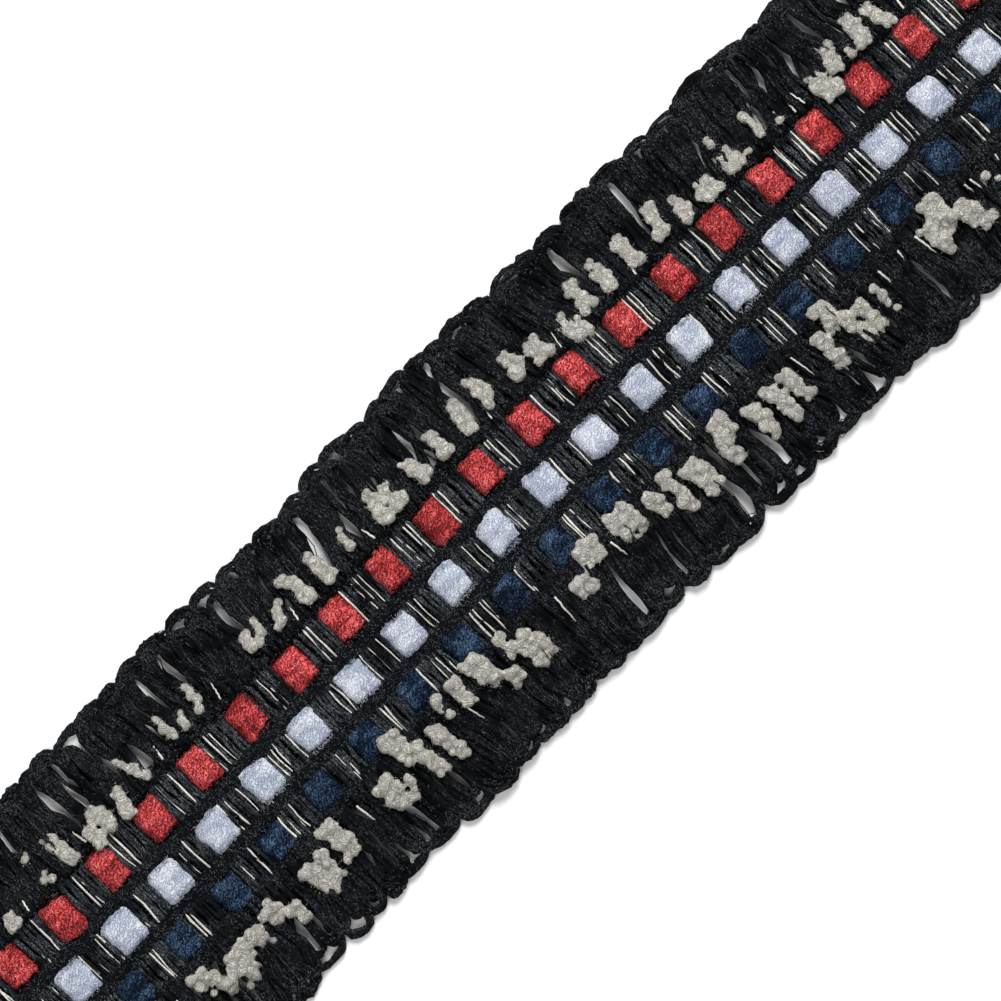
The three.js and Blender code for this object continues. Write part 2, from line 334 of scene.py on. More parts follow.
def ribbon_finish(name, base, shades, period, creased, gloss, rough):
    """Crinkled ribbon: fine wavy threads, with painted highlight on their crests, painted shade in the
    creases and painted sparkles on some fibres.
    """
    finish = Finish(name)
    dark, light, glint = shades
    threads = finish.waves(period, 12.0)
    fine = finish.noise(0.12 * MM, detail=3.0, rough=0.7, bend=0.8)
    creases = finish.noise(1.0 * MM, detail=2.0, stretch=(0.5, 1, 1), bend=0.6)
    fibres = finish.fibres(0.07 * MM, 0.28 * MM, (45, 15, 80, 130), 0.64)
    height = threads * 0.42 + fine * 0.9 + (creases - 0.5) * creased + fibres * 0.12
    # Painted shade in the creases and painted highlight on the crests, both from the relief's height.
    painted_crease_shade = finish.mix(finish.ramp(height, 0.43, 0.64), dark, base)
    lit = finish.mix(finish.ramp(height, 0.73, 0.95), painted_crease_shade, light)
    # Painted sparkles: bright glints on some fibres where the relief is high.
    painted_sparkles = fibres * finish.ramp(fine + creases * 0.5, 0.76, 0.86)
    coloured = finish.mix(painted_sparkles, lit, glint)
    normal = finish.relief(height, 0.21 * MM)
    return finish.shade(coloured, normal, Roughness=rough, Specular_IOR_Level=gloss)


def stripe_finish(name, base, light):
    """Warp stripe: fine ribs across the band under a soft nap whose fibres lie every way, some of them
    painted lighter, in patches, as highlights.
    """
    finish = Finish(name)
    ribs = finish.noise(0.17 * MM, detail=2.0, stretch=(1, 0.16, 1))
    fibres = finish.fibres(0.055 * MM, 0.22 * MM, (15, 70, 105, 150), 0.66)
    fuzz = finish.noise(0.10 * MM, detail=4.0, rough=0.65)
    glint_patches = finish.noise(1.2 * MM, detail=2.0)
    # Painted highlight: fibres in patches take the lighter colour, as if they caught the light.
    coloured = finish.mix(fibres * finish.ramp(glint_patches, 0.25, 0.65), base, light)
    normal = finish.relief(fuzz + fibres * 0.4, 0.10 * MM, finish.relief(ribs, 0.14 * MM))
    return finish.shade(coloured, normal, Roughness=0.8, Specular_IOR_Level=0.04)


def slub_finish(name, base):
    """Soft yarn curled up on itself: fine turns round each lump with painted light and shade, painted shade
    between the lumps and on the lower parts.
    """
    finish = Finish(name)
    rings = finish.lumps(1.1 * MM, "F1")
    seams = finish.lumps(1.1 * MM, "DISTANCE_TO_EDGE")
    curls = (rings * 34 + finish.noise(0.6 * MM, detail=0.5) * 16).sine()
    fuzz = finish.noise(0.12 * MM, detail=3.0, rough=0.6)
    height = curls * 0.2 + fuzz + finish.ramp(seams, 0.0, 0.2) * 0.12
    # Painted light and shade on the turns round each lump.
    turns = finish.mix(finish.ramp(height, 0.30, 0.88), scaled(base, 0.44), scaled(base, 1.16))
    # Painted shade in the seams between the lumps.
    painted_seam_shade = finish.mix(finish.ramp(seams, 0.0, 0.14) * 0.6 + 0.4, scaled(base, 0.46), turns)
    # Painted shade, darker the lower a point of the slub lies.
    level = finish.node("ShaderNodeSeparateXYZ", None, {"Vector": finish.place()}, out="Z")
    coloured = finish.mix(finish.ramp(level, 1.2 * MM, 2.35 * MM), scaled(base, 0.16), painted_seam_shade)
    normal = finish.relief(height, 0.16 * MM)
    return finish.shade(coloured, normal, Roughness=0.9, Specular_IOR_Level=0.1)


def plain_finish(name, base):
    """A single hair is too fine to show more than one colour, which varies at random; the black hairs get
    the grey of the painted highlight.
    """
    finish = Finish(name)
    tone = finish.noise(0.8 * MM)
    coloured = finish.mix(finish.ramp(tone, 0.3, 0.7), scaled(base, 0.5), scaled(base, 1.8))
    normal = finish.relief(tone, 0.01 * MM)
    return finish.shade(coloured, normal, Roughness=0.6, Specular_IOR_Level=0.15)


# Modelling


def deselect():
    if bpy.context.object and bpy.context.object.mode != "OBJECT":
        bpy.ops.object.mode_set(mode="OBJECT")
    bpy.ops.object.select_all(action="DESELECT")


def active(obj):
    deselect()
    obj.select_set(True)
    bpy.context.view_layer.objects.active = obj
    return obj


def started(name, add, **settings):
    """A new piece from one of Blender's primitives, with nothing else selected."""
    deselect()
    add(**settings)
    bpy.context.object.name = name
    return bpy.context.object


def modified(obj, kind, **settings):
    """Adds a modifier with these settings and applies it."""
    active(obj)
    bpy.ops.object.modifier_add(type=kind)
    modifier = obj.modifiers[-1]
    for key, value in settings.items():
        setattr(modifier, key, value)
    bpy.ops.object.modifier_apply(modifier=modifier.name)


def merge_doubles(obj, distance):
    active(obj)
    bpy.ops.object.mode_set(mode="EDIT")
    bpy.ops.mesh.select_all(action="SELECT")
    bpy.ops.mesh.remove_doubles(threshold=distance)
    bpy.ops.object.mode_set(mode="OBJECT")


def yarns(name, routes, thickness, resolution=1):
    """One mesh of round yarns with closed ends. A route is a list of x, y, z and share of thickness."""
    obj = started(name, bpy.ops.curve.primitive_nurbs_path_add)
    curve = obj.data
    curve.splines.clear()
    for route in routes:
        points = np.asarray(route, dtype=np.float32)
        spline = curve.splines.new("POLY")
        spline.points.add(len(points) - 1)
        ones = np.ones((len(points), 1), dtype=np.float32)
        spline.points.foreach_set("co", np.hstack([points[:, :3], ones]).ravel())
        spline.points.foreach_set("radius", np.ascontiguousarray(points[:, 3]))
    curve.bevel_depth = thickness / 2
    curve.bevel_resolution = resolution
    curve.use_fill_caps = True
    bpy.ops.object.convert(target="MESH")
    merge_doubles(obj, 0.002 * MM)
    bpy.ops.object.shade_smooth()
    return obj


def get_points(obj):
    points = np.empty(len(obj.data.vertices) * 3, dtype=np.float32)
    obj.data.vertices.foreach_get("co", points)
    return points.reshape(-1, 3)


def set_points(obj, points):
    obj.data.vertices.foreach_set("co", np.ascontiguousarray(points, dtype=np.float32).ravel())
    obj.data.update()


def rolled_strip(name, steps, around, section):
    """A closed strip along the band. section gives y and z of every point for x and the way round."""
    obj = started(
        name, bpy.ops.mesh.primitive_grid_add, x_subdivisions=steps, y_subdivisions=around, size=2
    )
    points = get_points(obj)
    x = points[:, 0] * LENGTH / 2
    turn = (points[:, 1] + 1) / 2
    y, z = section(x, turn)
    set_points(obj, np.stack([x, y + bow_at(x), z], axis=1))
    merge_doubles(obj, 0.001 * MM)
    bpy.ops.object.mode_set(mode="EDIT")
    bpy.ops.mesh.select_all(action="DESELECT")
    bpy.ops.mesh.select_non_manifold()
    bpy.ops.mesh.fill_holes(sides=0)
    bpy.ops.mesh.select_all(action="SELECT")
    bpy.ops.mesh.normals_make_consistent(inside=False)
    bpy.ops.object.mode_set(mode="OBJECT")
    bpy.ops.object.shade_smooth()
    return obj


def roughen(obj, size, strength, depth=1, kind="CLOUDS"):
    """Moves the surface in and out by soft lumps of this size."""
    texture = bpy.data.textures.new(obj.name, kind)
    texture.noise_scale = size
    if kind == "CLOUDS":
        texture.noise_depth = depth
    modified(obj, "DISPLACE", texture=texture, strength=strength, mid_level=0.5)
    points = get_points(obj)
    points[:, 2] = np.maximum(points[:, 2], 0.02 * MM)
    set_points(obj, points)


def copied(obj, copies):
    """Turns a small closed shape into one mesh of many: copies holds the points of each."""
    step = {"use_relative_offset": False, "use_constant_offset": True}
    modified(obj, "ARRAY", count=len(copies), constant_offset_displace=(3, 0, 0), **step)
    set_points(obj, copies.reshape(-1, 3))
    bpy.ops.object.shade_smooth()
    return obj


def powered(value, power):
    """A power that keeps the sign."""
    return np.sign(value) * np.abs(value) ** power


def unit(vectors):
    return vectors / np.linalg.norm(vectors, axis=-1, keepdims=True)


def hairs(name, rng, roots, ways, long, thickness, curl=0.45):
    """Fine bent hairs, pointed at both ends, each from its root the way that is given for it."""
    cone = {"vertices": 3, "radius1": 1, "depth": 2, "end_fill_type": "TRIFAN"}
    obj = started(name, bpy.ops.mesh.primitive_cone_add, **cone)
    shape = get_points(obj)
    shape[np.hypot(shape[:, 0], shape[:, 1]) > 0.5, 2] = 0
    count = len(roots)
    ways = unit(ways)
    across = unit(np.cross(ways, unit(rng.normal(0, 1, (count, 3)))))
    aside = np.cross(ways, across)
    reach = long * rng.uniform(0.5, 1.4, (count, 1, 1))
    share = ((shape[:, 2] + 1) / 2)[None, :, None]
    bend = reach * rng.uniform(-curl, curl, (count, 1, 1))
    line = roots[:, None] + ways[:, None] * share * reach + across[:, None] * bend * share**2
    thick = thickness / 2
    round_it = across[:, None] * shape[None, :, :1] + aside[:, None] * shape[None, :, 1:2]
    copies = line + round_it * thick
    copies[:, :, 2] = np.maximum(copies[:, :, 2], 0.05 * MM)
    return copied(obj, copies)


def dressed(obj, material, slot, *nodes):
    """Gives a piece its finish, hangs it under the root and hides the solids that it stands for; the slot
    is not used.
    """
    obj.data.materials.clear()
    obj.data.materials.append(material)
    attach(obj, "root")
    if nodes:
        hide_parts(*nodes)
    return obj


def wave(x, on_top, steepness, loft=0.0):
    """1 where a row lies on top of its bundles and -1 where it passes under them."""
    turn = math.pi * (x / (LENGTH / PICKS) + (PICKS - 1) / 2 - on_top)
    return np.clip(np.tanh(steepness * (np.cos(turn) + loft)) / math.tanh(steepness), -1, 1)


def wobble(rng, x, size, amount):
    """Soft random unevenness along a line, whose lumps are about this long."""
    knots = np.arange(x.min() - 2 * size, x.max() + 2 * size, size)
    return np.interp(x, knots, rng.normal(0, amount, len(knots)))


# Ribbons


def ribbon(row, rng, thickness):
    """One ribbon, crowned and crinkled, wide on its bundles and drawn in under them."""
    outer, inner = row["edges"]
    middle = (outer + inner) / 2
    half = (outer - inner) / 2
    face_share = 0.7

    def section(x, turn):
        top = turn < face_share
        down = (turn - face_share) / (1 - face_share)
        over = np.where(top, 1 - turn / face_share * 2, down * 2 - 1)
        rise = wave(x, row["on_top"], 2.2, row["loft"])
        drawn = 0.88 + (0.16 + 0.4 * row["loft"]) * (rise + 1) / 2
        coarse = np.where(over > 0, wobble(rng, x, 1.8 * MM, 0.06), wobble(rng, x, 1.8 * MM, 0.06))
        frayed = np.where(over > 0, wobble(rng, x, 0.3 * MM, 0.045), wobble(rng, x, 0.3 * MM, 0.045))
        wide = half * (drawn + (coarse + frayed) * np.abs(over) ** 3)
        y = middle + row["shift"] * MM + over * wide + wobble(rng, x, 3.5 * MM, 0.22 * MM)
        body = np.sqrt(np.clip(1 - np.abs(over) ** 5, 0, 1)) * thickness / 2
        level = MIDDLE + (MIDDLE - thickness / 2) * rise
        crown = (0.26 - 0.45 * np.abs(over) ** 3) * MM * rise
        z = level + crown + np.where(top, body, -body)
        return y, np.maximum(z, 0.02 * MM)

    strip = rolled_strip(row["name"] + "_cloth", 600, 21, section)
    roughen(strip, 0.9 * MM, 0.30 * MM, 2)
    roughen(strip, 0.34 * MM, 0.24 * MM)
    return strip


def frayed_edges(name, rng, row, count, long, thickness):
    """Short hairs that a ribbon's crowned squares send out over the stripes beside them."""
    outer, inner = row["edges"]
    squares = np.array([pick for pick in range(PICKS) if pick % 2 == row["on_top"]])
    side = rng.choice([-1, 1], count)
    x = pick_at(rng.choice(squares, count)) + rng.uniform(-1.5, 1.5, count) * MM
    y = np.where(side > 0, outer - 0.18 * MM, inner + 0.18 * MM) + rng.normal(0, 0.13 * MM, count)
    z = BODY_TOP + rng.uniform(-0.15, 0.12, count) * MM
    ways = np.stack([rng.normal(0, 0.9, count), side, rng.uniform(-0.1, 0.35, count)], axis=1)
    roots = np.stack([x, y + bow_at(x), z], axis=1)
    return hairs(name, rng, roots, ways, long, thickness)


class TRIM_OT_ribbons(bpy.types.Operator):
    """Makes the red, the white and the navy ribbon"""

    bl_idname = "trim.ribbons"
    bl_label = "Ribbons"

    def execute(self, context):
        sizes, tints, rng = settings_of(context.scene, 0)
        # Each ribbon's shades: painted shade for the creases, painted highlight for the crests and painted
        # sparkle.
        red_shades = (scaled(tints.red, 0.26), (0.86, 0.090, 0.095), (1.0, 0.42, 0.40))
        white_shades = ((0.30, 0.348, 0.465), (0.77, 0.81, 0.88), (0.88, 0.91, 0.96))
        navy_shades = (scaled(tints.navy, 0.20), (0.034, 0.068, 0.130), (0.18, 0.26, 0.38))
        finishes = [
            ribbon_finish("red_crepe", tints.red, red_shades, 0.22 * MM, 0.8, 0.2, 0.45),
            ribbon_finish("white_felt", tints.white, white_shades, 0.16 * MM, 1.1, 0.1, 0.8),
            ribbon_finish("navy_crepe", tints.navy, navy_shades, 0.22 * MM, 1.3, 0.08, 0.5),
        ]
        fray = [(900, 0.26 * MM, 0.07 * MM), (2600, 0.34 * MM, 0.08 * MM), (900, 0.4 * MM, 0.06 * MM)]
        for row, material, (count, long, thick) in zip(ROWS, finishes, fray):
            strip = ribbon(row, rng, sizes.ribbon)
            dressed(strip, material, row["slot"], row["name"])
            edge = frayed_edges(row["name"] + "_fray", rng, row, count, long, thick)
            dressed(edge, material, row["slot"])
        return {"FINISHED"}


# Woven ground


def stripe_lines():
    """The two edges of each black stripe, from the red edge of the cloth to its navy edge."""
    lines = [EDGE_RED]
    for row in ROWS:
        lines += row["edges"]
    lines.append(EDGE_NAVY)
    return list(zip(lines[0::2], lines[1::2]))


def bundle_height(y, pick):
    """Where the middle of a bundle lies over the floor: over the ribbons of the other picks."""
    places = [EDGE_NAVY - 1.0 * MM, EDGE_NAVY]
    levels = [MIDDLE, MIDDLE]
    for row in reversed(ROWS):
        outer, inner = row["edges"]
        high = pick % 2 != row["on_top"]
        level = YARN_TOP if high else 0.26 * MM
        places += [inner + 0.1 * MM, outer - 0.1 * MM]
        levels += [level, level]
    places += [EDGE_RED, EDGE_RED + 1.0 * MM]
    levels += [MIDDLE, MIDDLE]
    return np.interp(y, places, levels)


def weft_routes(rng):
    """Every yarn of every bundle, black and cream ones apart."""
    black, cream = [], []
    y = np.linspace(EDGE_NAVY - 0.2 * MM, EDGE_RED + 0.2 * MM, 121)
    kernel = np.hanning(9)
    kernel = kernel / kernel.sum()
    count = BUNDLE_YARNS
    middles = [sum(row["edges"]) / 2 for row in reversed(ROWS)]
    for pick in range(PICKS):
        level = bundle_height(y, pick)
        level = np.convolve(np.pad(level, 4, mode="edge"), kernel, mode="valid")
        high = np.clip((level - MIDDLE) / (YARN_TOP - MIDDLE), -1, 1)
        up = np.clip(high, 0, 1)
        spread = YARN_SPACING * rng.uniform(0.92, 1.06)
        aside = rng.normal(0, 0.09 * MM)
        chosen = 2 * rng.choice(count // 2, size=rng.integers(2, 5), replace=False) + rng.integers(0, 2)
        for number in range(count):
            is_cream = number in chosen
            offset = (number - (count - 1) / 2) * spread
            side = 2 * offset / (YARN_SPACING * count)
            strays = rng.normal(0, 0.16 * MM, len(middles))
            sway = (0.05 if is_cream else 0.12) * MM
            stray = np.interp(y, middles, strays) + wobble(rng, y, 0.9 * MM, sway)
            bowed = (0.26 * side - 0.13) * MM * up
            x = pick_at(pick) + aside + np.clip(offset + stray, -1.58 * MM, 1.58 * MM) + bowed
            x = np.clip(x, -LENGTH / 2 + 0.2 * MM, LENGTH / 2 - 0.2 * MM)
            arch = (0.17 - 0.16 * side**2) * MM * high
            if is_cream:
                lift = rng.uniform(-0.10, 0.08) * MM * up
            else:
                lift = wobble(rng, y, 1.1 * MM, 0.11 * MM)
            z = np.maximum(level + arch + lift, 0.18 * MM)
            fat = rng.uniform(0.55, 1.1) * (1 + wobble(rng, y, 0.7 * MM, 0.14))
            thick = fat * (0.4 + 0.6 * up) if is_cream else rng.uniform(0.7, 1.2, len(y))
            route = np.stack([x, y + bow_at(x), z, thick], axis=1)[::5]
            (cream if is_cream else black).append(route)
    return black, cream


def crowding(rng, row, x, place):
    """How far a stripe spreads over the yarns beside it, and gives way to the squares of a ribbon."""
    uneven = wobble(rng, x, 0.6 * MM, 0.09 * MM) + wobble(rng, x, 1.8 * MM, 0.13 * MM)
    if not row:
        return uneven + 0.10 * MM
    square = (wave(x, row["on_top"], 1.2) + 1) / 2
    return uneven + (square * row["over"][place] + (1 - square) * row["gaps"]) * MM


def stripe(name, rng, lines, rows):
    """One black stripe: a soft ridge on the face and on the back, ribbed where it crosses yarns."""
    from_y, to_y = lines
    middle = (from_y + to_y) / 2
    half = abs(from_y - to_y) / 2

    def section(x, turn):
        angle = turn * 2 * math.pi
        first = crowding(rng, rows[0], x, 1)
        second = crowding(rng, rows[1], x, 0)
        wide = half + np.where(np.cos(angle) > 0, first, second)
        y = middle + wide * powered(np.cos(angle), 0.7)
        ribs = 0.05 * MM * np.abs(np.sin(x * math.pi / (0.34 * MM)))
        tall = MIDDLE - 0.16 * MM + ribs + wobble(rng, x, 0.9 * MM, 0.06 * MM)
        outward = np.cos(angle) * ((rows[0] is None) - (rows[1] is None))
        tall = tall * (1 - 0.6 * np.clip(outward + 0.3, 0, 1))
        z = MIDDLE + tall * powered(np.sin(angle), 0.55)
        return y, z

    strip = rolled_strip(name, 700, 12, section)
    roughen(strip, 0.30 * MM, 0.24 * MM)
    return strip


def body_hairs(rng, count, long, thickness):
    """Nap that lies on the stripes and yarns of the cloth, every way."""
    lines = stripe_lines()
    on_stripe = rng.random(count) < 0.42
    chosen = rng.integers(0, len(lines), count)
    low = np.array([min(line) for line in lines])[chosen]
    high = np.array([max(line) for line in lines])[chosen]
    along_stripes = rng.uniform(low - 0.2 * MM, high + 0.2 * MM)
    y = np.where(on_stripe, along_stripes, rng.uniform(EDGE_NAVY, EDGE_RED, count))
    x = rng.uniform(-LENGTH / 2 + 1 * MM, LENGTH / 2 - 1 * MM, count)
    turn = rng.uniform(0, 2 * math.pi, count)
    z = BODY_TOP + rng.uniform(-0.1, 0.25, count) * MM
    z = np.where(on_stripe, z, z - 0.2 * MM)
    ways = np.stack([np.cos(turn), np.sin(turn), rng.normal(0, 0.15, count)], axis=1)
    roots = np.stack([x, y + bow_at(x), z], axis=1)
    return hairs("nap_of_ground", rng, roots, ways, long, thickness)


class TRIM_OT_ground(bpy.types.Operator):
    """Makes the woven ground: its binding cloth, black stripes and bundles of yarn"""

    bl_idname = "trim.ground"
    bl_label = "Woven Ground"

    def execute(self, context):
        sizes, tints, rng = settings_of(context.scene, 1)
        black, cream = weft_routes(rng)
        # The yarns' lighter colours are painted highlights on the fibres that catch the light.
        greyed = (0.0058, 0.0068, 0.0090)
        weft_yarn = yarn_finish("weft_filaments", greyed, scaled(tints.nap, 1.9), 0.605)
        cream_yarn = yarn_finish("cream_threads", tints.cream, scaled(tints.cream, 1.3), 0.50)
        weft = yarns("weft_black", black, sizes.yarn, resolution=0)
        roughen(weft, 0.22 * MM, 0.24 * MM)
        dressed(weft, weft_yarn, "black_yarn", "woven_ground")
        light = yarns("weft_cream", cream, sizes.cream, resolution=0)
        dressed(light, cream_yarn, "cream_yarn", "woven_ground")
        warp = stripe_finish("stripe_weave", tints.black, tints.nap)
        beside = [None, *ROWS, None]
        for number, lines in enumerate(stripe_lines()):
            strip = stripe(f"stripe_{number + 1}", rng, lines, beside[number : number + 2])
            dressed(strip, warp, "black_yarn", "woven_ground")
        nap = body_hairs(rng, GROUND_HAIRS, 0.42 * sizes.nap, 0.07 * MM)
        # The black hairs are painted in the nap's grey, a painted highlight lighter than the black yarn.
        dressed(nap, plain_finish("black_hair", tints.nap), "black_yarn")
        cloth = self.binding_cloth()
        dressed(cloth, warp, "black_yarn", "woven_ground")
        return {"FINISHED"}

    def binding_cloth(self):
        """The thin black cloth of fine warp between the yarns on the face and those on the back."""
        grid = {"x_subdivisions": 2 * PICKS, "y_subdivisions": 10, "size": 2}
        cloth = started("binding_cloth", bpy.ops.mesh.primitive_grid_add, **grid)
        points = get_points(cloth)
        x = points[:, 0] * (LENGTH / 2 - 0.1 * MM)
        y = (EDGE_RED + EDGE_NAVY) / 2 + points[:, 1] * (EDGE_RED - EDGE_NAVY) / 2 * 0.99
        z = MIDDLE + 0.04 * MM * np.cos(x * math.pi / (LENGTH / PICKS))
        set_points(cloth, np.stack([x, y + bow_at(x), z], axis=1))
        modified(cloth, "SOLIDIFY", thickness=0.12 * MM, offset=0)
        bpy.ops.object.shade_smooth()
        return cloth


# Fringe

SIDES = {
    "red_side": {"way": 1, "edge": EDGE_RED, "reach": REACH_RED},
    "navy_side": {"way": -1, "edge": -EDGE_NAVY, "reach": REACH_NAVY},
}


# In millimetres, how wide the scallops at the rim are, the small loops across them and the locks
# within them, and how far apart the slow swells of the rim lie.
SCALLOP_WIDTHS = (2.4, 5.0)
SMALL_WIDTHS = (1.3, 2.2)
LOCK_WIDTHS = (1.5, 2.7)
SWELL_STEP = 7


def smooth_through(points, count):
    """A soft cubic curve through a few points, with its points closest half way."""
    padded = np.vstack([2 * points[0] - points[1], points, 2 * points[-1] - points[-2]])
    place = (1 + powered(np.linspace(-1, 1, count), 1.4)) * (len(points) - 1 - 1e-6) / 2
    start = place.astype(int)
    share = (place - start)[:, None]
    before, first, last, after = (padded[start + step] for step in range(4))
    curve = 2 * first + (last - before) * share
    curve = curve + (2 * before - 5 * first + 4 * last - after) * share**2
    return (curve + (3 * first - before - 3 * last + after) * share**3) / 2


def loop_route(rng, lock, root, belly, tip, heights):
    """One strand of a lock, out and back. root and belly are half widths."""
    start = lock["edge"] - 1.3 * MM
    run = tip - start
    high, low = heights
    turn_in = min((1.4 if lock["rim"] else 1.7) * MM, belly * rng.uniform(0.8, 1.1))
    corner, crest = (0.88, 0.42) if lock["rim"] else (0.80, 0.34)
    foot = lock["centre"] + lock["foot"]
    waist = lock["centre"] + lock["foot"] * 0.4 + lock["lean"] * 0.35 + lock["bend"]
    bulge = lock["centre"] + lock["lean"] * 0.7 - lock["bend"] * 0.5
    end = lock["centre"] + lock["lean"] + rng.normal(0, 0.12) * belly
    legs = []
    for way in (-1, 1):
        legs.append(
            [
                (foot + way * root, start, high),
                (foot + way * root * 1.05, lock["edge"] + 0.5 * MM, high),
                (waist + way * (root + belly) * 0.5, start + run * 0.42, 0),
                (bulge + way * belly * rng.uniform(0.85, 1.12), start + run * 0.68, low * 1.3),
                (end + way * belly * corner, tip - turn_in * 0.62, low),
                (end + way * belly * crest, tip - turn_in * 0.08, low),
            ]
        )
    points = np.array([*legs[0], *reversed(legs[1])])
    points[[2, -3], 2] = (low + high) / 2
    points = points + rng.normal(0, 0.10 * MM, points.shape)
    points[:, 2] = np.maximum(points[:, 2], 0.3 * MM)
    route = smooth_through(points, STRAND_POINTS)
    thick = lock["thick"] * rng.uniform(0.7, 1.15) * rng.uniform(0.8, 1.2, (len(route), 1))
    return np.hstack([route, thick])


def lock_routes(rng, edge, centre, wide, tip, count, rim=False, thick=1.0):
    """The strands of one lock, each a loop inside the one before, round an opening like a lens."""
    lock = {"edge": edge, "centre": centre, "rim": rim, "thick": thick}
    lock["foot"] = rng.normal(0, 0.35 * MM)
    lock["bend"] = rng.normal(0, 0.25 * MM)
    lock["lean"] = 0.9 * MM * math.sin(centre / (9 * MM) + edge / MM) + rng.normal(0, 0.28 * MM)
    level = (rng.uniform(0.5, 0.9) if rim else rng.uniform(0.45, 1.35)) * MM
    belly = wide / 2
    routes = []
    for _ in range(count):
        low = np.clip(level + rng.normal(0, 0.15 * MM), 0.5 * MM, 2.3 * MM)
        heights = (rng.uniform(1.0, 2.3) * MM, low)
        root = belly * rng.uniform(0.3, 0.75)
        routes.append(loop_route(rng, lock, root, belly, tip, heights))
        tip -= rng.uniform(0.25, 0.60) * MM
        belly = max(belly - rng.uniform(0.20, 0.45) * MM, 0.45 * MM)
    return routes


def fringe_routes(rng, side, strands):
    """All strands of one side: wide shallow scallops at the rim and narrow locks within them."""
    routes = []
    edge, reach = side["edge"], side["reach"]
    limit = LENGTH / 2 - 0.3 * MM
    place = -LENGTH / 2 - 0.5 * MM
    spots = np.arange(-LENGTH / 2 - 8 * MM, LENGTH / 2 + 8 * MM, SWELL_STEP * MM)
    swells = rng.normal(-0.03 * MM, 0.24 * MM, len(spots))
    while place < limit - 1.5 * MM:
        wide = rng.uniform(*SCALLOP_WIDTHS) * MM
        tip = reach - rng.uniform(0.0, 0.5) * MM + np.interp(place + wide / 2, spots, swells)
        centre = place + wide / 2
        routes += lock_routes(rng, edge, centre, wide, tip, 2, rim=True)
        if rng.random() < 0.5:
            small = rng.uniform(*SMALL_WIDTHS) * MM
            near = tip - rng.uniform(0, 0.6) * MM
            routes += lock_routes(rng, edge, place + rng.uniform(0, wide), small, near, 1, thick=0.6)
        inside = place
        while inside < place + wide * 0.8:
            narrow = rng.uniform(*LOCK_WIDTHS) * MM
            middle = inside + narrow / 2
            fall = min(1, abs(middle - centre) / (wide / 2))
            within = tip - (0.2 + 0.8 * fall**2 + rng.uniform(0, 1.2)) * MM
            routes += lock_routes(rng, edge, middle, narrow, within, rng.integers(2, strands + 1))
            inside += narrow * 0.98
        place += wide * 0.84
    for route in routes:
        route[:, 0] = np.clip(route[:, 0], -limit, limit)
    return routes


def filament_routes(rng, routes, count):
    """Thin loose filaments that follow a part of a loop, a little beside it and above."""
    loose = []
    for number in rng.integers(0, len(routes), count):
        whole = routes[number]
        size = rng.integers(6, 14)
        start = rng.integers(0, len(whole) - size + 1)
        part = whole[start : start + size].copy()
        part[:, 1] -= np.sign(part[:, 1]) * 0.2 * MM
        part[:, :2] += rng.normal(0, 0.18 * MM, 2) + rng.normal(0, 0.09 * MM, (len(part), 2))
        part[:, 2] += rng.uniform(0.1, 0.6) * MM
        part[:, 3] = rng.uniform(0.6, 1.2)
        loose.append(part)
    return loose


def on_side(route, way):
    """A route drawn for the red side, put on its own side and bent with the band."""
    placed = np.array(route)
    placed[:, 1] = way * placed[:, 1] + bow_at(placed[:, 0])
    return placed


class TRIM_OT_fringe(bpy.types.Operator):
    """Makes the looped fringe along both edges"""

    bl_idname = "trim.fringe"
    bl_label = "Fringe"

    def execute(self, context):
        sizes, tints, rng = settings_of(context.scene, 2)
        # The lighter colour of each yarn finish is a painted highlight on its fibres.
        material = yarn_finish("black_filaments", tints.black, scaled(tints.nap, 1.1), 0.645)
        nap = bpy.data.materials["black_hair"]
        greyed = (0.004, 0.005, 0.006)
        grey = yarn_finish("loose_filaments", greyed, scaled(tints.nap, 1.2), 0.60)
        for name, side in SIDES.items():
            drawn = fringe_routes(rng, side, sizes.loops)
            routes = [on_side(route * (side["way"], 1, 1, 1), side["way"]) for route in drawn]
            obj = yarns(f"loops_{name}", routes, sizes.strand)
            roughen(obj, 0.35 * MM, 0.26 * MM)
            dressed(obj, material, "black_yarn", f"fringe_{name}")
            strays = filament_routes(rng, routes, FRINGE_FILAMENTS)
            loose = yarns(f"filaments_{name}", strays, sizes.filament, 0)
            dressed(loose, grey, "black_yarn", f"fringe_{name}")
            hair = self.nap(f"nap_{name}", rng, routes, FRINGE_HAIRS, 0.55 * sizes.nap)
            dressed(hair, nap, "black_yarn")
        return {"FINISHED"}

    def nap(self, name, rng, routes, count, long):
        """Fine hairs that lie on the loops, mostly the way that the loops run."""
        points = np.vstack([route[1:-1, :3] for route in routes])
        roots = points[rng.integers(0, len(points), count)] + rng.normal(0, 0.15 * MM, (count, 3))
        roots[:, 2] += 0.35 * MM
        ways = rng.normal(0, 1, (count, 3)) * np.array([0.7, 1.2, 0.15])
        return hairs(name, rng, roots, ways, long, 0.06 * MM)


# Slubs

